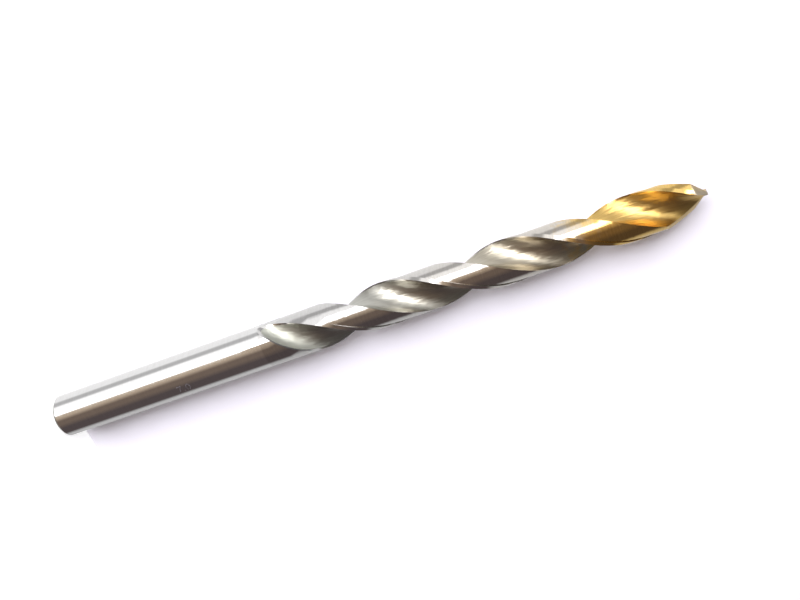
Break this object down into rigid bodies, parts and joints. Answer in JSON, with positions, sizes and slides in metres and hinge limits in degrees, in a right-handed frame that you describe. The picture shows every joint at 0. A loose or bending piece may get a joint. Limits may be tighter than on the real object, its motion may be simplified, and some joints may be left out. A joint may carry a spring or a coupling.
{
  "type": "twist drill bit",
  "caption": "Two-flute jobber twist drill for metal: plain round shank, right-hand helical flutes with margins and relieved lands, and a ground point.",
  "frame": {"origin": "centre of the shank's flat end face", "axes": "+Z along the drill's axis toward the point; X along the lips at the point"},
  "size_m": [0.007, 0.007, 0.109],
  "materials": {
    "tool_steel": "bright ground high-speed steel, gold-coloured hard coating toward the point"
  },
  "bodies": {
    "root": {"drill_bit": "tool_steel"}
  },
  "joints": []
}
